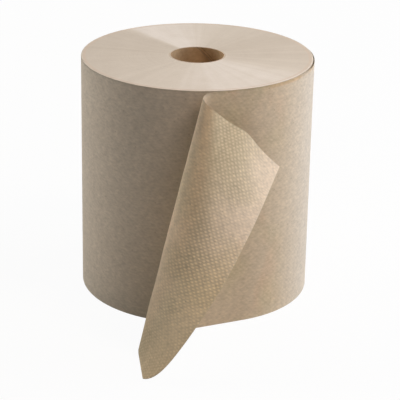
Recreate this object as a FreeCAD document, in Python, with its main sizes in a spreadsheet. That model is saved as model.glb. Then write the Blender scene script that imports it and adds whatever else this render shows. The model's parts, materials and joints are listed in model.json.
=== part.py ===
import FreeCAD, Part
import math
import os

import Sketcher
from FreeCAD import Vector

# A hard-wound roll of kraft towel paper standing on its end, on a board core, with its loose end
# peeled off the front and folded back. Millimetres and degrees; Z is the roll's axis, Z = 0 is the
# end that it stands on, and -Y is the front. Angles round the roll run from the front towards +X.

SIZES = {
    "web_width": 203,            # width of the paper, and so the roll's height
    "roll_diameter": 195,        # over the tight turns
    "core_bore": 45,             # inside of the board tube
    "core_wall": 1.3,            # thickness of the board tube
    "core_gap": 0.1,             # radial gap between the tube and the first turn
    "sheet_thickness": 0.3,      # embossed paper, over its bumps
    "turn_lines": 7,             # lines between windings of different tightness, on each end
    "turn_line_depth": 0.3,
    "turn_line_width": 0.4,
    "nip_gap": 0.2,              # between the roll and the sheet where the sheet leaves it
    "loose_gap": 1.1,            # how far the last turn stands off the roll at its loosest
    "nip_angle": 23.5,           # where the sheet leaves the roll
    "loose_angle": 102,          # where the last turn starts to come loose
    "end_length_bottom": 155.5,  # loose end, from the nip to its torn edge
    "end_length_top": 132.5,
    "tear_bulge": 3.5,           # the tear bulges out this much near its lower corner
    "tear_bulge_height": 10,
    "lead_bottom": 61,           # straight run from the nip to the fold
    "lead_middle": 36.5,
    "lead_top": 26.5,
    "fold_bottom": 56,           # length of paper that takes the fold
    "fold_middle": 87,
    "fold_top": 36,
    "turn_bottom": 73,           # angle that the fold turns the paper through
    "turn_middle": 146,
    "turn_top": 177,
    "droop_middle": 24.5,        # angle that the folded flap falls below level
    "droop_top": 42,
}

ROWS = 20                        # rows of points up the loose end
COLUMNS = 36                     # points along each row
SUBSTEPS = 4                     # steps of the running sum between two points


def add_sheet(doc):
    sheet = doc.addObject("Spreadsheet::Sheet", "Sizes")
    for row, (alias, value) in enumerate(SIZES.items(), start=1):
        sheet.set("A%d" % row, alias)
        sheet.set("B%d" % row, str(value))
        sheet.setAlias("B%d" % row, alias)
    doc.recompute()
    return sheet


def origin_plane(body, role):
    return next(item for item in body.Origin.OriginFeatures if item.Role == role)


def add_ring_sketch(body, name, radii, height=None):
    """Circles about the axis, one for each radius expression."""
    sketch = body.newObject("Sketcher::SketchObject", name)
    sketch.AttachmentSupport = (origin_plane(body, "XY_Plane"), [""])
    sketch.MapMode = "FlatFace"
    if height:
        sketch.setExpression("AttachmentOffset.Base.z", height)
    for number, radius in enumerate(radii):
        circle = sketch.addGeometry(Part.Circle(Vector(0, 0, 0), Vector(0, 0, 1), 20 + number), False)
        sketch.addConstraint(Sketcher.Constraint("Coincident", circle, 3, -1, 1))
        named = sketch.addConstraint(Sketcher.Constraint("Radius", circle, 20 + number))
        sketch.renameConstraint(named, "radius_%d" % number)
        sketch.setExpression("Constraints.radius_%d" % number, radius)
    return sketch


def make_core(doc):
    body = doc.addObject("PartDesign::Body", "core_tube")
    sketch = add_ring_sketch(body, "core_section", [
        "Sizes.core_bore / 2",
        "Sizes.core_bore / 2 + Sizes.core_wall",
    ])
    pad = body.newObject("PartDesign::Pad", "core_length")
    pad.Profile = sketch
    pad.setExpression("Length", "Sizes.web_width")
    body.Label = "core_tube"
    return body


def make_turns(doc, sheet):
    """The tight turns as one ring of paper, with fine lines between windings on both ends."""
    body = doc.addObject("PartDesign::Body", "tight_turns")
    inner = "(Sizes.core_bore / 2 + Sizes.core_wall + Sizes.core_gap)"
    outer = "Sizes.roll_diameter / 2"
    sketch = add_ring_sketch(body, "turns_section", [inner, outer])
    pad = body.newObject("PartDesign::Pad", "turns_width")
    pad.Profile = sketch
    pad.setExpression("Length", "Sizes.web_width")
    doc.recompute()
    before = body.Shape.Volume

    count = int(sheet.turn_lines)
    radii = []
    for number in range(1, count + 1):
        middle = "%s + (%s - %s) * %d / %d" % (inner, outer, inner, number, count + 1)
        radii += [middle + " - Sizes.turn_line_width / 2", middle + " + Sizes.turn_line_width / 2"]
    lines = add_ring_sketch(body, "turn_lines_top", radii, "Sizes.web_width")
    groove = body.newObject("PartDesign::Pocket", "turn_line_cut_top")
    groove.Profile = lines
    groove.setExpression("Length", "Sizes.turn_line_depth")
    lines = add_ring_sketch(body, "turn_lines_base", radii)
    groove = body.newObject("PartDesign::Pocket", "turn_line_cut_base")
    groove.Profile = lines
    groove.Reversed = True
    groove.setExpression("Length", "Sizes.turn_line_depth")
    doc.recompute()
    print("turn lines take %.1f mm3" % (before - body.Shape.Volume))
    return body


def on_roll(radius, angle, height=0.0):
    turn = math.radians(angle)
    return Vector(radius * math.sin(turn), -radius * math.cos(turn), height)


def loose_turn(sheet):
    """The last turn, which stands off the roll between loose_angle and the nip."""
    radius = sheet.roll_diameter / 2
    angles = (sheet.nip_angle, (sheet.nip_angle + sheet.loose_angle) / 2, sheet.loose_angle)
    gaps = (sheet.nip_gap, sheet.loose_gap, -1.5 * sheet.sheet_thickness)
    inside = [on_roll(radius + gap, angle) for gap, angle in zip(gaps, angles)]
    outside = [on_roll(radius + gap + sheet.sheet_thickness, angle) for gap, angle in zip(gaps, angles)]
    outline = Part.Wire([
        Part.Arc(*inside).toShape(),
        Part.makeLine(inside[2], outside[2]),
        Part.Arc(*reversed(outside)).toShape(),
        Part.makeLine(outside[0], inside[0]),
    ])
    return Part.Face(outline).extrude(Vector(0, 0, sheet.web_width))


def between(bottom, middle, top, share):
    """A value up the web, from its values at the bottom edge, halfway and the top edge."""
    return (bottom * (1 - share) * (1 - 2 * share) + 4 * middle * share * (1 - share)
            + top * share * (2 * share - 1))


def ease(share):
    share = min(max(share, 0.0), 1.0)
    return share * share * (3 - 2 * share)


def loose_end_row(sheet, share):
    """Middle of the paper along the web, at one share of its width up from the bottom edge."""
    length = sheet.end_length_bottom + (sheet.end_length_top - sheet.end_length_bottom) * share
    low = sheet.web_width * share / sheet.tear_bulge_height
    length += sheet.tear_bulge * low * math.exp(1 - low)
    lead = between(sheet.lead_bottom, sheet.lead_middle, sheet.lead_top, share)
    fold = between(sheet.fold_bottom, sheet.fold_middle, sheet.fold_top, share)
    turn = math.radians(between(sheet.turn_bottom, sheet.turn_middle, sheet.turn_top, share))
    droop = math.radians(between(0, sheet.droop_middle, sheet.droop_top, share))
    start = sheet.roll_diameter / 2 + sheet.nip_gap + sheet.sheet_thickness / 2
    point = on_roll(start, sheet.nip_angle, sheet.web_width * share)
    row = [point]
    step = length / (COLUMNS * SUBSTEPS)
    for number in range(COLUMNS * SUBSTEPS):
        folded = ease((step * (number + 0.5) - lead) / fold)
        heading = math.pi + math.radians(sheet.nip_angle) + turn * folded
        fall = droop * folded
        point = point + Vector(math.cos(fall) * math.cos(heading), math.cos(fall) * math.sin(heading),
                               -math.sin(fall)) * step
        if (number + 1) % SUBSTEPS == 0:
            row.append(point)
    return row


def face_points(rows, offset):
    """The rows moved along the paper's normal by offset. The bottom edge stays on Z = 0."""
    moved = []
    for r, row in enumerate(rows):
        below, above = rows[max(r - 1, 0)], rows[min(r + 1, ROWS)]
        line = []
        for c, point in enumerate(row):
            up = above[c] - below[c] if r else Vector(0, 0, 1)
            along = row[min(c + 1, COLUMNS)] - row[max(c - 1, 0)]
            line.append(point + up.cross(along).normalize() * offset)
        moved.append(line)
    return moved


def loose_end(sheet):
    """The peeled end: two smooth faces a sheet's thickness apart, closed round their edges."""
    rows = [loose_end_row(sheet, r / ROWS) for r in range(ROWS + 1)]
    skins = []
    for side in (-0.5, 0.5):
        surface = Part.BSplineSurface()
        surface.interpolate(face_points(rows, side * sheet.sheet_thickness))
        skins.append(surface)
    faces = [skin.toShape() for skin in skins]
    u_start, u_stop, v_start, v_stop = skins[0].bounds()
    rims = [[skin.uIso(u).toShape() for skin in skins] for u in (u_start, u_stop)]
    rims += [[skin.vIso(v).toShape() for skin in skins] for v in (v_start, v_stop)]
    faces += [Part.makeRuledSurface(*pair, 1) for pair in rims]
    shell = Part.makeShell(faces)
    shell.sewShape()
    solid = Part.makeSolid(shell)
    if solid.Volume < 0:
        solid.reverse()
    if not solid.isValid():
        raise RuntimeError("the loose end isn't a closed solid")
    return solid


def make_web(doc, sheet):
    """All the paper is one web: the tight turns, the last loose turn and its peeled end."""
    turns = make_turns(doc, sheet)
    loose = doc.addObject("Part::Feature", "loose_paper")
    loose.Shape = loose_turn(sheet).fuse(loose_end(sheet))
    web = doc.addObject("Part::Fuse", "paper_web")
    web.Base = turns
    web.Tool = loose
    web.Label = "paper_web"
    return web


def check(doc, parts):
    for item in doc.Objects:
        if "Invalid" in item.State or "Error" in item.State:
            raise RuntimeError("%s failed: %s" % (item.Label, item.State))
    for part in parts:
        if part.Shape.isNull() or not part.Shape.isValid():
            raise RuntimeError("%s has no valid shape" % part.Label)
        box = part.Shape.BoundBox
        print("%s: %d solid, %.1f cm3, X %.1f..%.1f, Y %.1f..%.1f, Z %.1f..%.1f" % (
            part.Label, len(part.Shape.Solids), part.Shape.Volume / 1000,
            box.XMin, box.XMax, box.YMin, box.YMax, box.ZMin, box.ZMax))


doc = FreeCAD.newDocument("towel_roll")
sheet = add_sheet(doc)
parts = [make_core(doc), make_web(doc, sheet)]
doc.recompute()
check(doc, parts)
os.makedirs("parts", exist_ok=True)
for part in parts:
    part.Shape.exportStep("parts/%s.step" % part.Label)
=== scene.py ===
import json
import math
import random

import bmesh
import bpy
from mathutils import Matrix, Vector, noise


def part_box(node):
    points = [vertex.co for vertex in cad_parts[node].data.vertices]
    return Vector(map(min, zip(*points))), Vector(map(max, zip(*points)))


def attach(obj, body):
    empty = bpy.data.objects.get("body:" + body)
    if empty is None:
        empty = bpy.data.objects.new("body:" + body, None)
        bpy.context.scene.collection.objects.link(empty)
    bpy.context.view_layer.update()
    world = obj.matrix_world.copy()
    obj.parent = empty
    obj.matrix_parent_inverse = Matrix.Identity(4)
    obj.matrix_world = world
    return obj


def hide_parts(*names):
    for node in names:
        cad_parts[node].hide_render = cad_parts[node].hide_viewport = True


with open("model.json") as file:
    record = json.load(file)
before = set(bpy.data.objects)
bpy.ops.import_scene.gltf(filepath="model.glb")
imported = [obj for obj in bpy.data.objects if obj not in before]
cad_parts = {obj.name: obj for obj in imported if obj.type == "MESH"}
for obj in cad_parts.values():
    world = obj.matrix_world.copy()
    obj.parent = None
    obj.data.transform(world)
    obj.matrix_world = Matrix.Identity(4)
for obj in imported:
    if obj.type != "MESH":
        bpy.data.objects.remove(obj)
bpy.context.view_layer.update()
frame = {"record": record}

# A hard-wound roll of kraft towel paper on end, its loose end peeled off the front and folded back.
# Metres; Z is the roll's axis, -Y the front. Angles round the roll run from the front towards +X.

mm = 0.001
bore = next(mount for mount in frame["record"]["mounts"] if mount["name"] == "core_bore")
coreInside = bore["dims"]["r_mm"] * mm
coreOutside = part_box("core_tube")[1].x
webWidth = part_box("core_tube")[1].z
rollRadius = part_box("paper_web")[1].y      # its back, where every turn is tight
sharpAngle = math.radians(35)              # an edge bent by more than this is shaded sharp
endSlope = 0.7                             # a face whose normal rises more than this is on an end
scene = bpy.context.scene


def ease(share):
    share = min(max(share, 0.0), 1.0)
    return share * share * (3 - 2 * share)


def between(bottom, middle, top, share):
    # a value across a width, from its values at one side, halfway and the other side
    return (bottom * (1 - share) * (1 - 2 * share) + 4 * middle * share * (1 - share)
            + top * share * (2 * share - 1))


def bell(distance, width):
    return math.exp(-(distance / width) ** 2)


def onRoll(radius, degrees, height):
    turn = math.radians(degrees)
    return Vector((radius * math.sin(turn), -radius * math.cos(turn), height))


def angleOf(point):
    return math.degrees(math.atan2(point.x, -point.y))


def spinRing(bm, profile, steps):
    # a closed outline of (radius, height) points, turned once round the axis
    points = [bm.verts.new((radius, 0, height)) for radius, height in profile]
    edges = [bm.edges.new((points[i], points[(i + 1) % len(points)])) for i in range(len(points))]
    bmesh.ops.spin(bm, geom=points + edges, cent=(0, 0, 0), axis=(0, 0, 1), angle=2 * math.pi,
                   steps=steps, use_merge=True, use_duplicate=False)
    bmesh.ops.remove_doubles(bm, verts=bm.verts, dist=1e-7)
    bmesh.ops.recalc_face_normals(bm, faces=bm.faces)
    for face in bm.faces:
        face.normal_update()
        face.material_index = 1 if abs(face.normal.z) > endSlope else 0


def makePiece(name, bm, materials, node):
    bm.normal_update()
    for edge in bm.edges:
        edge.smooth = len(edge.link_faces) == 2 and edge.calc_face_angle() < sharpAngle
    mesh = bpy.data.meshes.new(name)
    bm.to_mesh(mesh)
    bm.free()
    piece = bpy.data.objects.new(name, mesh)
    scene.collection.objects.link(piece)
    for material in materials:
        mesh.materials.append(material)
    mesh.polygons.foreach_set("use_smooth", [True] * len(mesh.polygons))
    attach(piece, "root")
    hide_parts(node)
    return piece


class Signal:
    # a socket of a node tree that can stand in a sum or a product
    def __init__(self, tree, socket=None):
        self.tree = tree
        self.socket = socket

    def node(self, kind, settings=(), inputs=(), output=0):
        made = self.tree.nodes.new("ShaderNode" + kind)
        for name, value in dict(settings).items():
            if name == "stops":
                setStops(made.color_ramp, value)
            else:
                setattr(made, name, value)
        for name, value in dict(inputs).items():
            if isinstance(value, Signal):
                self.tree.links.new(value.socket, made.inputs[name])
            else:
                made.inputs[name].default_value = value
        return Signal(self.tree, made.outputs[output])

    def maths(self, operation, *values):
        return self.node("Math", {"operation": operation}, enumerate(values))

    def __add__(self, other):
        return self.maths("ADD", self, other)

    def __sub__(self, other):
        return self.maths("SUBTRACT", self, other)

    def __rsub__(self, other):
        return self.maths("SUBTRACT", other, self)

    def __mul__(self, other):
        return self.maths("MULTIPLY", self, other)

    def __truediv__(self, other):
        return self.maths("DIVIDE", self, other)

    __radd__ = __add__
    __rmul__ = __mul__

    def part(self, output):
        return Signal(self.tree, self.socket.node.outputs[output])

    def rise(self, low, high):
        # 0 before low, 1 past high, smooth between them
        return self.node("MapRange", {"interpolation_type": "SMOOTHSTEP"},
                         {"Value": self, "From Min": low, "From Max": high})

    def growth(self, amount, low, high):
        return amount * self.rise(low, high)

    def swing(self, amount):
        # about 1, by half of amount to each side as this noise goes from 0 to 1
        return 1 - amount / 2 + amount * self

    def tint(self, colour, amount, blend="MIX"):
        # this colour, mixed or multiplied with another by amount
        return self.node("Mix", {"data_type": "RGBA", "blend_type": blend},
                         {"Factor": amount, 6: self, 7: colour}, 2)

    def shade(self, value):
        # this colour times a number that varies
        grey = self.node("CombineColor", (), {0: value, 1: value, 2: value})
        return self.tint(grey, 1.0, "MULTIPLY")


def setStops(ramp, stops):
    while len(ramp.elements) < len(stops):
        ramp.elements.new(0.5)
    for element, (place, colour) in zip(ramp.elements, stops):
        element.position = place
        element.color = colour


def newMaterial(name):
    material = bpy.data.materials.new(name)
    material.use_nodes = True
    tree = material.node_tree
    shader = tree.nodes["Principled BSDF"]
    return material, Signal(tree), shader


def plainColour(start, colour):
    made = start.node("RGB")
    made.socket.default_value = colour
    return made


def finishMaterial(start, shader, colour, roughness, bumps):
    # bumps is a list of heights in metres, laid one on another
    tree = start.tree
    tree.links.new(colour.socket, shader.inputs["Base Color"])
    shader.inputs["Roughness"].default_value = roughness
    normal = None
    for height in bumps:
        inputs = {"Height": height, "Strength": 1.0, "Distance": 1.0}
        if normal:
            inputs["Normal"] = normal
        normal = start.node("Bump", (), inputs)
    tree.links.new(normal.socket, shader.inputs["Normal"])


# paper: the colours, fibres and embossing that the paper's faces share

paper = {
    "roll": (0.600, 0.520, 0.415, 1),        # many turns deep, greyer
    "outer": (0.590, 0.483, 0.345, 1),       # one turn, seen from outside
    "inner": (0.700, 0.582, 0.400, 1),       # its inner face, which the fold turns out
    "edge": (0.440, 0.360, 0.250, 1),        # its cut edge
    "salmon": (0.640, 0.450, 0.300, 1),
    "olive": (0.520, 0.445, 0.270, 1),
    # painted shade: browner at the flap's foot
    "footBrown": (0.520, 0.405, 0.235, 1),
    "tanBandShade": (0.600, 0.425, 0.240, 1),      # painted shade: a tan band along the rim
    "tearPale": (0.700, 0.590, 0.460, 1),    # painted light: paler towards the tear
    "fleck": (0.240, 0.170, 0.100, 1),
    "fleckSize": 3.0 * mm,
    "fleckShare": 0.06,                      # share of the cells that hold one
    "fleckTone": 0.35,
    "dotPitch": 4.2 * mm,                    # along the web; the rows stand half of that apart
    "dotHeight": 0.14 * mm,
    "dotStray": 1.3 * mm,                    # how far dots wander off their lattice
    "fibre": 0.03 * mm,
    "roughness": 0.85,
    "sheen": 0.06,
    "rimShade": (0.14, webWidth - 2 * mm, webWidth - 0.8 * mm),   # amount, from and to
}

paperNoise = {                               # scale, detail and stretch
    "stray": (300, 1.0),
    "grain": (520, 2.0, (0.5, 1, 1)),
    "blot": (150, 1.0),
    "cloud": (26, 3.0),
    "patch": (30, 2.0, (1, 0.45, 1)),
    "shift": (17, 1.0),
    "edge": (900, 2.0),
}


def webCoordinates(start):
    place = start.node("UVMap", {"uv_map": "web"})
    split = start.node("SeparateXYZ", (), {0: place})
    return place, split, split.part(1)


def fibres(start, place, scale, detail, stretch=(1, 1, 1)):
    stretched = start.node("Mapping", (), {"Vector": place, "Scale": stretch})
    return start.node("TexNoise", {"noise_dimensions": "3D"},
                      {"Vector": stretched, "Scale": scale, "Detail": detail, "Roughness": 0.6})


def flecks(start, place, size, share):
    # small dark fibres here and there: 1 on a fleck, else 0
    cells = start.node("TexVoronoi", {"feature": "F1"},
                       {"Vector": place, "Scale": 1 / size, "Randomness": 1.0})
    chosen = start.node("SeparateColor", (), {0: cells.part(1)})
    return (1 - cells.rise(0.12, 0.26)) * chosen.rise(1 - share, 1 - share + 0.01)


def dots(start, place, along, up, slant=0.0):
    # the embossed lattice, from -1 to 1; a slant below 0 joins its dots into rows that fall to the
    # right, seen from outside the roll
    turn = 2 * math.pi / paper["dotPitch"]
    stray = start.node("SeparateColor", (), {0: fibres(start, place, *paperNoise["stray"]).part(1)})
    along = along + (stray - 0.5) * paper["dotStray"]
    up = up + (stray.part(1) - 0.5) * paper["dotStray"]
    rising = start.maths("COSINE", (along + up) * turn)
    falling = start.maths("COSINE", (along - up) * turn)
    return rising * (0.5 + slant / 2) + falling * (0.5 - slant / 2)


def rimShade(colour, up):
    # painted shade: the outside darkens a little at its top edge
    return colour.shade(1 - up.growth(*paper["rimShade"]))


def finishPaper(start, place, shader, colour, height):
    # cloudy, grainy and flecked, as paper from waste pulp is, with the embossing as height
    grain, blot, cloud = (fibres(start, place, *paperNoise[name]) for name in ("grain", "blot", "cloud"))
    colour = colour.shade(cloud.swing(0.14)).shade(blot.swing(0.28)).shade(grain.swing(0.52))
    fleck = flecks(start, place, paper["fleckSize"], paper["fleckShare"])
    colour = colour.tint(paper["fleck"], paper["fleckTone"] * fleck)
    shader.inputs["Sheen Weight"].default_value = paper["sheen"]
    finishMaterial(start, shader, colour, paper["roughness"], [grain * paper["fibre"] * 2, height])


def plainPaper(name, colour):
    material, start, shader = newMaterial(name)
    place = start.node("TexCoord").part(3)
    grain = fibres(start, place, *paperNoise["edge"])
    colour = plainColour(start, colour).shade(grain.swing(0.2))
    finishMaterial(start, shader, colour, paper["roughness"], [grain * paper["fibre"]])
    return material


# wound turns: the tight roll, with the ends of its turns showing as fine rings

turns = {
    "gap": 0.1 * mm,               # between the core and the first turn
    "rimRound": 0.7 * mm,
    "rimSteps": 4,
    "rings": 64,                   # rings that show on each end
    "ringHeight": 0.07 * mm,
    "sideRows": 16,
    "steps": 256,
    "nipAngle": 23.5,              # where the loose end leaves the roll
    "seed": 7,
    "slant": -0.5,                 # the side's embossing
    # lighter on the dots, darker between: partly the paper's own tone, partly painted shade
    "dotShade": 0.02,
    "dotHeight": 0.1,              # share of the paper's
}

ends = {
    "colour": (0.745, 0.668, 0.555, 1),      # cut edges of the turns
    "pale": (0.800, 0.745, 0.670, 1),        # painted highlight, where the painted fan is light
    "paleFrom": (0.8, 0.97, 1.14),           # amount, from and to, by the painted light
    # painted shade: duller where the painted fan is dark
    "dull": (0.690, 0.585, 0.455, 1),
    "dullTo": (0.5, 0.84, 0.99),
    "rim": (0.720, 0.580, 0.450, 1),         # a browner band inside the rim
    "rimAmount": 0.5,
    "rimBand": (1 * mm, 2 * mm, 3 * mm, 4.5 * mm),      # in from the rim: it starts, is full, fades, ends
    # painted highlights: amount, from and to, in from the rim and out from the core
    "rimLight": (0.07, 0.9 * mm, 1.6 * mm),
    "coreLight": (0.05, 1 * mm, 2 * mm),
    "streak": (9.0, 5.0),                    # noise scale and detail, by direction from the axis
    "wide": (1.6, 2.0),
    "grain": (480, 3.0),                     # and by place
    "blot": (60, 2.0),
    "ringHeight": 0.05 * mm,
    "grainHeight": 0.03 * mm,
    "roughness": 0.8,
    "paintedFan": (                       # painted sheen, the fan of light that the edges' lie gives: angle from +X, light painted there
        (0, 0.92), (45, 0.91), (75, 0.97), (100, 1.08), (125, 1.13), (133, 0.93), (160, 0.92),
        (205, 0.96), (245, 1.00), (285, 1.08), (318, 1.07), (345, 0.96), (360, 0.92),
    ),
}


def sideMaterial():
    material, start, shader = newMaterial("rollSide")
    place, along, up = webCoordinates(start)
    pattern = dots(start, place, along, up, turns["slant"])
    # partly the paper's own tone, partly painted shade of the embossing
    colour = rimShade(plainColour(start, paper["roll"]), up).shade(1 + turns["dotShade"] * pattern)
    finishPaper(start, place, shader, colour, pattern * (paper["dotHeight"] * turns["dotHeight"]))
    return material


def endMaterial():
    material, start, shader = newMaterial("turnEnds")
    place = start.node("TexCoord").part(3)
    flat = start.node("VectorMath", {"operation": "MULTIPLY"}, {0: place, 1: (1, 1, 0)})
    outward = start.node("VectorMath", {"operation": "NORMALIZE"}, {0: flat})
    radius = start.node("VectorMath", {"operation": "LENGTH"}, {0: flat}, 1)
    streak, wide = fibres(start, outward, *ends["streak"]), fibres(start, outward, *ends["wide"])
    grain, blot = fibres(start, place, *ends["grain"]), fibres(start, place, *ends["blot"])
    ring = start.node("TexNoise", {"noise_dimensions": "1D"},
                      {"W": radius, "Scale": 900, "Detail": 4.0, "Roughness": 0.7})
    split = start.node("SeparateXYZ", (), {0: place})
    facing = start.maths("ARCTAN2", split.part(1) * -1, split.part(0) * -1) / (2 * math.pi) + 0.5
    # painted sheen: the ends are lighter and darker by direction from the axis
    paintedFan = start.node("ValToRGB", {"stops": [(angle / 360, (share / 2, share / 2, share / 2, 1))
                                            for angle, share in ends["paintedFan"]]}, {0: facing})
    light = 2 * start.node("SeparateColor", (), {0: paintedFan})      # a ramp's stops are halved, to stay under 1
    light = light * (wide.swing(0.04) + streak.swing(0.14) - 1) * blot.swing(0.08)
    colour = plainColour(start, ends["colour"])
    # painted highlight and shade: paler where the painted fan is light, duller where it is dark, then shaded
    # by it
    colour = colour.tint(ends["pale"], light.growth(*ends["paleFrom"]))
    colour = colour.tint(ends["dull"], ends["dullTo"][0] - light.growth(*ends["dullTo"]))
    colour = colour.shade(light).shade(ring.swing(0.05)).shade(grain.swing(0.10))
    starts, full, fades, stops = ends["rimBand"]
    inward = rollRadius - radius
    band = inward.rise(starts, full) * (1 - inward.rise(fades, stops))
    colour = colour.tint(ends["rim"], band * ends["rimAmount"])
    # painted highlight: lighter just inside the rim and just outside the core
    lit = ends["rimLight"][0] - inward.growth(*ends["rimLight"])
    lit = lit + (ends["coreLight"][0] - (radius - coreOutside).growth(*ends["coreLight"]))
    finishMaterial(start, shader, colour.shade(1 + lit), ends["roughness"],
                   [ring * ends["ringHeight"], grain * ends["grainHeight"]])
    return material


def endRings(draw):
    # radius and depth of each ring on an end, from the core out to where the rim's rounding starts
    inner, outer = coreOutside + turns["gap"], rollRadius - turns["rimRound"]
    found = []
    for number in range(turns["rings"] + 1):
        radius = inner + (outer - inner) * number / turns["rings"]
        dip = turns["ringHeight"] * draw.random() if 0 < number < turns["rings"] else 0.0
        found.append((radius, dip))
    return found


def makeTurns(materials):
    draw = random.Random(turns["seed"])
    rim = turns["rimRound"]
    quarter = [math.pi / 2 * step / turns["rimSteps"] for step in range(turns["rimSteps"] + 1)]
    profile = [(radius, webWidth - dip) for radius, dip in endRings(draw)]
    profile += [(rollRadius - rim * (1 - math.sin(turn)), webWidth - rim * (1 - math.cos(turn)))
                for turn in quarter[1:]]
    profile += [(rollRadius, webWidth - rim - (webWidth - 2 * rim) * row / turns["sideRows"])
                for row in range(1, turns["sideRows"])]
    profile += [(rollRadius - rim * (1 - math.cos(turn)), rim * (1 - math.sin(turn)))
                for turn in quarter]
    profile += reversed(endRings(draw)[:-1])
    bm = bmesh.new()
    spinRing(bm, profile, turns["steps"])
    web = bm.loops.layers.uv.new("web")
    for face in bm.faces:
        middle = angleOf(face.calc_center_median())
        behind = (middle - turns["nipAngle"]) % 360
        for loop in face.loops:
            offset = (angleOf(loop.vert.co) - middle + 180) % 360 - 180
            loop[web].uv = (-math.radians(behind + offset) * rollRadius, loop.vert.co.z)
    makePiece("woundTurns", bm, materials, "paper_web")


# loose sheet: the last turn where it stands off the roll, and the peeled end that it runs into

sheet = {
    "thickness": 0.3 * mm,
    "nipGap": 0.2 * mm,
    "looseGap": 1.1 * mm,          # how far the last turn stands off the roll at its loosest
    "looseAngle": 102,             # where the last turn starts to come loose
    "rimLift": 0.5 * mm,           # its upper corner stands off more, about rimAngle
    "rimAngle": 74,
    "rimReach": 9,
    "rimFrom": 0.75,               # share of the width where the lift starts
    "lengthBottom": 155.5 * mm,    # from the nip to the torn edge
    "lengthTop": 132.5 * mm,
    "tearBulge": 7.0 * mm,         # the tear bulges out this much near its lower corner
    "tearBulgeHeight": 10 * mm,
    "lead": (61 * mm, 36.5 * mm, 26.5 * mm),   # straight run to the fold: bottom, middle, top
    "fold": (56 * mm, 87 * mm, 36 * mm),       # length of paper that takes the fold
    "turn": (73, 146, 177),                    # angle that the fold turns the paper through
    "droop": (0, 24.5, 42),                    # angle that the flap falls below level
    "rows": 100,
    "turnColumns": 70,
    "endColumns": 130,
    "substeps": 3,
    "ripple": 0.5 * mm,
    "rippleSize": 34 * mm,
    "rippleAlong": (30 * mm, 60 * mm),         # it grows from here, over this length
    "rippleUp": 40 * mm,
    "topFrom": 0.6,                # share of the width above which the top edge's waves grow
    "topWaves": ((3.0 * mm, 94 * mm, 13 * mm), (-1.0 * mm, 60 * mm, 14 * mm)),   # lift, place, width
    "topDrop": (2.8 * mm, 84 * mm, 48 * mm),   # drop, from, over this length
}


def looseTurnPoint(share, degrees):
    run = (degrees - turns["nipAngle"]) / (sheet["looseAngle"] - turns["nipAngle"])
    gap = between(sheet["nipGap"], sheet["looseGap"], -1.5 * sheet["thickness"], run)
    lifted = ease((share - sheet["rimFrom"]) / (1 - sheet["rimFrom"]))
    gap += sheet["rimLift"] * bell(degrees - sheet["rimAngle"], sheet["rimReach"]) * lifted
    return onRoll(rollRadius + gap + sheet["thickness"] / 2, degrees, webWidth * share)


def endRow(share):
    # points along the peeled end at one share of its width, and how far round the fold each is
    length = sheet["lengthBottom"] + (sheet["lengthTop"] - sheet["lengthBottom"]) * share
    low = webWidth * share / sheet["tearBulgeHeight"]
    length += sheet["tearBulge"] * low * math.exp(1 - low)
    lead, fold = between(*sheet["lead"], share), between(*sheet["fold"], share)
    turn = math.radians(between(*sheet["turn"], share))
    droop = math.radians(between(*sheet["droop"], share))
    count = sheet["endColumns"] * sheet["substeps"]
    step = length / count
    point = looseTurnPoint(share, turns["nipAngle"])
    row = [(point.copy(), 0.0)]
    for number in range(count):
        folded = ease((step * (number + 0.5) - lead) / fold)
        heading = math.pi + math.radians(turns["nipAngle"]) + turn * folded
        fall = droop * folded
        point += step * Vector((math.cos(fall) * math.cos(heading),
                                math.cos(fall) * math.sin(heading), -math.sin(fall)))
        if (number + 1) % sheet["substeps"] == 0:
            row.append((point.copy(), folded))
    return row, length


def makeSheet(materials):
    columns = sheet["turnColumns"] + sheet["endColumns"]
    loose = sheet["looseAngle"] - turns["nipAngle"]
    arc = math.radians(loose) * rollRadius
    bm = bmesh.new()
    bmesh.ops.create_grid(bm, x_segments=columns, y_segments=sheet["rows"], size=0.5)
    web = bm.loops.layers.uv.new("web")
    pressed = bm.verts.layers.float.new("pressed")      # 1 where the fold bends the paper most
    rows = [endRow(number / sheet["rows"]) for number in range(sheet["rows"] + 1)]
    onWeb = {}
    for vert in bm.verts:
        column, number = round((vert.co.x + 0.5) * columns), round((vert.co.y + 0.5) * sheet["rows"])
        share = number / sheet["rows"]
        points, length = rows[number]
        if column < sheet["turnColumns"]:
            back = 1 - column / sheet["turnColumns"]
            vert.co = looseTurnPoint(share, turns["nipAngle"] + loose * back)
            onWeb[vert] = (-arc * back, webWidth * share)
        else:
            point, folded = points[column - sheet["turnColumns"]]
            vert.co = point
            vert[pressed] = 4 * folded * (1 - folded)
            onWeb[vert] = (length * (column - sheet["turnColumns"]) / sheet["endColumns"],
                           webWidth * share)
    for face in bm.faces:
        for loop in face.loops:
            loop[web].uv = onWeb[loop.vert]
    bm.normal_update()
    rippleFrom, rippleOver = sheet["rippleAlong"]
    drop, dropFrom, dropOver = sheet["topDrop"]
    for vert in bm.verts:
        along, up = onWeb[vert]
        free = ease((along - rippleFrom) / rippleOver) * ease(up / sheet["rippleUp"])
        spot = Vector((along, up, 0.0)) / sheet["rippleSize"]
        vert.co += vert.normal * sheet["ripple"] * free * noise.noise(spot)
        top = ease((up - sheet["topFrom"] * webWidth) / ((1 - sheet["topFrom"]) * webWidth))
        waves = sum(lift * bell(along - place, width) for lift, place, width in sheet["topWaves"])
        vert.co.z += top * (waves - drop * ease((along - dropFrom) / dropOver))
    piece = makePiece("looseSheet", bm, materials, "paper_web")
    thick = piece.modifiers.new("thickness", "SOLIDIFY")
    thick.thickness = sheet["thickness"]
    thick.offset = 0.0
    thick.material_offset = 1
    thick.material_offset_rim = 2


# the sheet's two faces; a range is (amount, from, to) or (from, to), in metres along the web from
# the nip, up the web, or in a noise's or the fold's own values

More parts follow.
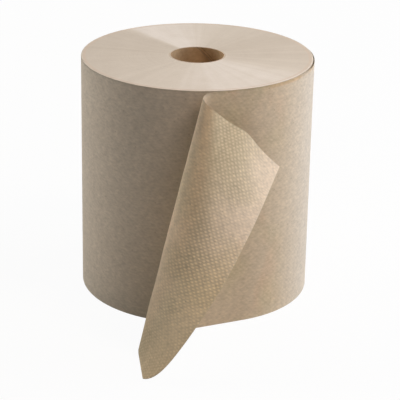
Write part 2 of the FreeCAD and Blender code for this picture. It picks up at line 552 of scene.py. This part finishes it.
innerFace = {
    "dots": 0.95,                            # the lattice, and the ribs across it
    "ribs": 0.30,
    "flattened": 0.75,                       # share of the embossing that the fold presses out
    "worn": 0.55,                            # share that comes and goes
    "wornIn": (0.38, 0.62),
    "faintUp": (0.5, 0.110, 0.190),          # it fades towards the top edge
    "faintAlong": (0.4, 0.105, 0.135),       # and towards the tear
    "hollowShade": 0.33,                      # darker between the dots: partly the paper's own pressed tone, partly painted shade
    "hollows": (0.80, -0.30),
    "dotLight": 1.02,
    "upper": (0.070, 0.130),
    "lower": (0.080, 0.130),
    "tearPaleAmount": 0.8,
    "tearPaleAlong": (0.080, 0.130),
    # painted warm shade along the fold; the salmon patches are the paper's own tone
    "salmonFold": (0.44, 0.1, 0.7),
    "salmonPatch": (0.22, 0.56, 0.72),
    "olivePatch": (0.35, 0.40, 0.60),
    "footShade": 0.74,                        # painted shade: darker at the foot, and a little at the top
    "footRise": (0.37, 0.010, 0.095),
    "topFall": (0.10, 0.100, 0.150),
    "tearLight": 0.38,                        # painted light: lighter towards the tear, less so at the top
    "tearAlong": (0.075, 0.140),
    "tearFall": (0.21, 0.060, 0.150),
    "bendLight": 0.22,                        # painted light: lighter on the upper fold, but for its crease
    "bend": (0.20, 0.70),
    "crease": (0.15, 0.82, 0.98),
    "lowerBendShade": (0.15, 0.50, 0.98),         # painted shade: darker on the lower fold
    # painted shade: browner towards the foot
    "footBrownShade": (0.6, 0.005, 0.070),
}

outerFace = {
    "slant": -0.45,
    # lighter on the dots, darker between: partly the paper's own tone, partly painted shade
    "dotShade": 0.03,
    "dotHeight": 0.14,                       # share of the paper's
    "worn": 0.5,
    "wornIn": (0.35, 0.65),
    "freshAlong": (-0.090, -0.050),          # the embossing shows from here on
    "looseAlong": (-0.085, -0.025),          # and the colour of a single turn
    "near": (-0.050, -0.015),                # patches show towards the nip: the paper's own tone, kept near the flap as painted warm bounce light
    "salmonPatch": (0.55, 0.48, 0.66),
    "olivePatch": (0.6, 0.42, 0.62),
    "tanBandPatch": (0.8, 0.30, 0.55),
    "tanBandAlong": (0.012, 0.030, 0.080, 0.100),        # before the nip: it starts, is full, fades, ends
    "tanBandUp": (webWidth - 4 * mm, webWidth - 1.5 * mm),
}


def innerFaceMaterial():
    face = innerFace
    material, start, shader = newMaterial("sheetInnerFace")
    place, along, up = webCoordinates(start)
    patch, shift = (fibres(start, place, *paperNoise[name]) for name in ("patch", "shift"))
    pressed = start.node("Attribute", {"attribute_name": "pressed"}, (), 2)
    ribs = start.maths("COSINE", up * (4 * math.pi / paper["dotPitch"]))
    pattern = dots(start, place, along, up) * face["dots"] + ribs * face["ribs"]
    fresh = (1 - pressed * face["flattened"]) * (1 - face["worn"] * (1 - shift.rise(*face["wornIn"])))
    fresh = fresh * (1 - up.growth(*face["faintUp"])) * (1 - along.growth(*face["faintAlong"]))

    upper, lower = up.rise(*face["upper"]), 1 - up.rise(*face["lower"])
    colour = plainColour(start, paper["inner"])
    # painted light: paler towards the tear, on the upper flap
    colour = colour.tint(paper["tearPale"], along.growth(face["tearPaleAmount"], *face["tearPaleAlong"]) * upper)
    # painted warm shade along the fold, with the paper's own salmon patches
    colour = colour.tint(paper["salmon"], pressed.growth(*face["salmonFold"])
                         + patch.growth(*face["salmonPatch"]))
    colour = colour.tint(paper["olive"], shift.growth(*face["olivePatch"]))
    # painted shade: darker at the foot, and a little at the top
    colour = colour.shade((face["footShade"] + up.growth(*face["footRise"]))
                          * (1 - up.growth(*face["topFall"])))
    # painted light: lighter towards the tear, less so at the top
    colour = colour.shade(1 + along.rise(*face["tearAlong"])
                          * (face["tearLight"] - up.growth(*face["tearFall"])))
    # painted light on the upper fold, painted shade on the lower fold
    bend = pressed.rise(*face["bend"]) * (face["bendLight"] - pressed.growth(*face["crease"]))
    colour = colour.shade(1 + bend * upper).shade(1 - pressed.growth(*face["lowerBendShade"]) * lower)
    # painted shade: browner towards the foot
    colour = colour.tint(paper["footBrown"], face["footBrownShade"][0] - up.growth(*face["footBrownShade"]))
    # partly the paper's own pressed tone, partly painted shade of the embossing
    hollows = face["hollowShade"] * pattern.rise(*face["hollows"])
    colour = colour.shade(face["dotLight"] - hollows * fresh)
    finishPaper(start, place, shader, colour, pattern * fresh * paper["dotHeight"])
    return material


def outerFaceMaterial():
    face = outerFace
    material, start, shader = newMaterial("sheetOuterFace")
    place, along, up = webCoordinates(start)
    patch, shift = (fibres(start, place, *paperNoise[name]) for name in ("patch", "shift"))
    pattern = dots(start, place, along, up, face["slant"])
    fresh = (1 - face["worn"] * (1 - shift.rise(*face["wornIn"]))) * along.rise(*face["freshAlong"])

    colour = plainColour(start, paper["roll"]).tint(paper["outer"], along.rise(*face["looseAlong"]))
    # the paper's own patches, shown near the flap as painted warm bounce light
    near = along.rise(*face["near"])
    colour = colour.tint(paper["salmon"], patch.growth(*face["salmonPatch"]) * near)
    colour = colour.tint(paper["olive"], shift.growth(*face["olivePatch"]) * near)
    # painted shade: a tan band under the top edge, before the nip
    before = along * -1
    starts, full, fades, stops = face["tanBandAlong"]
    tanBandShade = before.rise(starts, full) * (1 - before.rise(fades, stops)) * up.rise(*face["tanBandUp"])
    colour = colour.tint(paper["tanBandShade"], tanBandShade * patch.growth(*face["tanBandPatch"]))
    # partly the paper's own tone, partly painted shade of the embossing
    colour = rimShade(colour, up).shade(1 + face["dotShade"] * pattern * fresh)
    finishPaper(start, place, shader, colour,
                pattern * fresh * (paper["dotHeight"] * face["dotHeight"]))
    return material


# core tube: board wound on a spiral, its inner ply a strip whose edges meet in a helical seam

core = {
    "ply": 0.4 * mm,
    "stripAngle": 40,              # the strip's slope round the tube
    "seam": 0.6 * mm,              # gap between the strip's edges
    "seamPlace": -0.7 * mm,        # where the seam meets the top, from the middle of the back
    "seamShade": 0.22,             # darker along the seam, and along a line four seams further on
    "lap": 0.02 * mm,              # glued plies press this far into each other
    "rows": 60,
    "steps": 128,
    "board": (0.450, 0.295, 0.155, 1),
    "boardLight": (0.620, 0.430, 0.245, 1),
    "boardEnd": (0.660, 0.560, 0.430, 1),
    "boardStops": (0.35, 0.75),
    "grain": (420, 4.0),           # noise scale and detail
    "cloud": (90, 2.0),
    "grainHeight": 0.08 * mm,
    "roughness": 0.8,
    "boreShade": 0.76,                  # painted shade and light: the left of the bore is darker, its right lighter
    "boreLight": (0.58, -14 * mm, 10 * mm),
}


def boardMaterial():
    material, start, shader = newMaterial("coreBoard")
    place = start.node("TexCoord").part(3)
    grain, cloud = fibres(start, place, *core["grain"]), fibres(start, place, *core["cloud"])
    stops = list(zip(core["boardStops"], (core["board"], core["boardLight"])))
    colour = start.node("ValToRGB", {"stops": stops}, {0: cloud * 0.6 + grain * 0.4})
    colour = colour.shade(grain.swing(0.2))
    split = start.node("SeparateXYZ", (), {0: place})
    slope = math.radians(core["stripAngle"])
    around = start.maths("ARCTAN2", split, split.part(1)) * (coreInside + core["ply"]) - core["seamPlace"]
    across = around * math.sin(slope) + (split.part(2) - webWidth) * math.cos(slope)
    for line in (0, core["seam"] * 4):
        off = start.maths("ABSOLUTE", across - line)
        fade = off.rise(core["seam"] * 0.5, core["seam"] * 1.3)
        colour = colour.shade(1 - core["seamShade"] * (1 - fade))
    # painted shade on the bore's left, painted light on its right
    colour = colour.shade(core["boreShade"] + split.growth(*core["boreLight"]))
    finishMaterial(start, shader, colour, core["roughness"], [grain * core["grainHeight"]])
    return material


def makeCore(materials):
    bm = bmesh.new()
    wall = coreInside + core["ply"]
    girth = 2 * math.pi * wall
    slope = math.radians(core["stripAngle"])
    across = Vector((math.sin(slope), 0, math.cos(slope)))

    # the inner ply is cut flat, along both edges of each seam, and then rolled up
    bmesh.ops.create_grid(bm, x_segments=core["steps"], y_segments=core["rows"], size=0.5)
    for vert in bm.verts:
        vert.co = (vert.co.x * girth, 0, (vert.co.y + 0.5) * webWidth)
    for turn in (0, 1):
        middle = Vector((core["seamPlace"] - turn * girth, 0, webWidth))
        for side in (-0.5, 0.5):
            bmesh.ops.bisect_plane(bm, geom=bm.verts[:] + bm.edges[:] + bm.faces[:], dist=1e-7,
                                   plane_co=middle + across * core["seam"] * side, plane_no=across)
        gap = [face for face in bm.faces
               if abs((face.calc_center_median() - middle).dot(across)) < core["seam"] / 2]
        bmesh.ops.delete(bm, geom=gap, context="FACES")
    for vert in bm.verts:
        angle = vert.co.x / wall
        vert.co = (wall * math.sin(angle), wall * math.cos(angle), vert.co.z)
    bmesh.ops.remove_doubles(bm, verts=bm.verts, dist=1e-6)
    bmesh.ops.recalc_face_normals(bm, faces=bm.faces)
    bm.faces.ensure_lookup_table()
    first = bm.faces[0]
    if first.normal.dot(first.calc_center_median() * Vector((1, 1, 0))) < 0:
        bmesh.ops.reverse_faces(bm, faces=bm.faces)
    bmesh.ops.solidify(bm, geom=bm.faces[:], thickness=core["ply"])

    pressed = wall - core["lap"]
    spinRing(bm, [(pressed, 0), (coreOutside, 0), (coreOutside, webWidth), (pressed, webWidth)],
             core["steps"])
    makePiece("coreTube", bm, materials, "core_tube")


# studio: pale floor, white surroundings, soft lamps and the camera

camera = {
    "place": (0.0, -1353.5 * mm, 613.0 * mm),
    "yaw": 0.193,                  # degrees, to the right
    "pitch": 21.797,               # down
    "roll": -1.085,
    "lens": 151.03,
    "sensor": 36,
    "clip": (0.05, 20),
}

lamps = {                          # angle round the roll, height angle, distance, size, watts, colour
    "keyLamp": (104, 24, 1.5, 1.0, 17.8, (0.74, 0.85, 0.99)),
    "fillLamp": (-110, 20, 1.5, 1.0, 11.0, (1.0, 0.98, 0.95)),
    "highLamp": (60, 55, 1.5, 0.4, 9.6, (1.0, 0.80, 0.67)),
    "frontLamp": (45, 35, 1.5, 1.0, 1.8, (1.0, 1.0, 1.0)),
    "backLamp": (180, 12, 1.6, 1.0, 6.0, (1.0, 0.97, 0.93)),
}

studio = {
    "floorSize": 3.0,
    "floor": (0.82, 0.81, 0.79, 1),
    "floorRoughness": 0.9,
    "floorWhite": 0.95,            # share of plain white in the floor that the camera sees
    "roomLight": (0.01, 0.01, 0.01, 1),
    "white": (1, 1, 1, 1),
}


def whiteToCamera(start):
    # 1 for what the camera sees straight, in a mirror or through glass
    rays = start.node("LightPath")
    seen = start.maths("MAXIMUM", rays.part("Is Camera Ray"), rays.part("Is Glossy Ray"))
    return start.maths("MAXIMUM", seen, rays.part("Is Transmission Ray"))


def makeStudio():
    bm = bmesh.new()
    bmesh.ops.create_grid(bm, x_segments=1, y_segments=1, size=studio["floorSize"])
    mesh = bpy.data.meshes.new("floor")
    bm.to_mesh(mesh)
    bm.free()
    floor = bpy.data.objects.new("floor", mesh)
    scene.collection.objects.link(floor)
    material, start, shader = newMaterial("floorWhite")
    shader.inputs["Base Color"].default_value = studio["floor"]
    shader.inputs["Roughness"].default_value = studio["floorRoughness"]
    glow = start.node("Emission", (), {"Color": studio["white"], "Strength": 1.0})
    surface = Signal(start.tree, shader.outputs[0])
    mixed = start.node("MixShader", (), {0: whiteToCamera(start) * studio["floorWhite"],
                                         1: surface, 2: glow})
    start.tree.links.new(mixed.socket, start.tree.nodes["Material Output"].inputs[0])
    mesh.materials.append(material)

    world = bpy.data.worlds.new("studio")
    scene.world = world
    world.use_nodes = True
    start = Signal(world.node_tree)
    back = world.node_tree.nodes["Background"]
    colour = start.node("Mix", {"data_type": "RGBA"},
                        {"Factor": whiteToCamera(start), 6: studio["roomLight"], 7: studio["white"]}, 2)
    start.tree.links.new(colour.socket, back.inputs["Color"])
    back.inputs["Strength"].default_value = 1.0

    for name, (angle, height, distance, size, watts, colour) in lamps.items():
        data = bpy.data.lights.new(name, "AREA")
        data.shape = "SQUARE"
        data.size = size
        data.energy = watts
        data.color = colour
        lamp = bpy.data.objects.new(name, data)
        scene.collection.objects.link(lamp)
        raised = math.radians(height)
        aim = Vector((0, 0, webWidth / 2))
        away = onRoll(math.cos(raised), angle, math.sin(raised))
        lamp.location = aim + away * distance
        lamp.rotation_euler = away.to_track_quat("Z", "Y").to_euler()
        lamp.visible_camera = False


def makeCamera():
    yaw, pitch, roll = (math.radians(camera[name]) for name in ("yaw", "pitch", "roll"))
    forward = Vector((math.sin(yaw) * math.cos(pitch), math.cos(yaw) * math.cos(pitch),
                      -math.sin(pitch)))
    right = Vector((math.cos(yaw), -math.sin(yaw), 0))
    down = forward.cross(right)
    right, down = (math.cos(roll) * right + math.sin(roll) * down,
                   math.cos(roll) * down - math.sin(roll) * right)
    data = bpy.data.cameras.new("camera")
    data.sensor_width = camera["sensor"]
    data.lens = camera["lens"]
    data.clip_start, data.clip_end = camera["clip"]
    found = bpy.data.objects.new("camera", data)
    scene.collection.objects.link(found)
    turned = Matrix((right, -down, -forward)).transposed().to_4x4()
    found.matrix_world = Matrix.Translation(camera["place"]) @ turned
    scene.camera = found


scene.view_settings.view_transform = "Standard"
makeCamera()
makeStudio()
print("studio and camera")
makeTurns([sideMaterial(), endMaterial()])
print("wound turns")
makeSheet([innerFaceMaterial(), outerFaceMaterial(), plainPaper("sheetEdge", paper["edge"])])
print("loose sheet")
makeCore([boardMaterial(), plainPaper("coreEnd", core["boardEnd"])])
print("core tube")
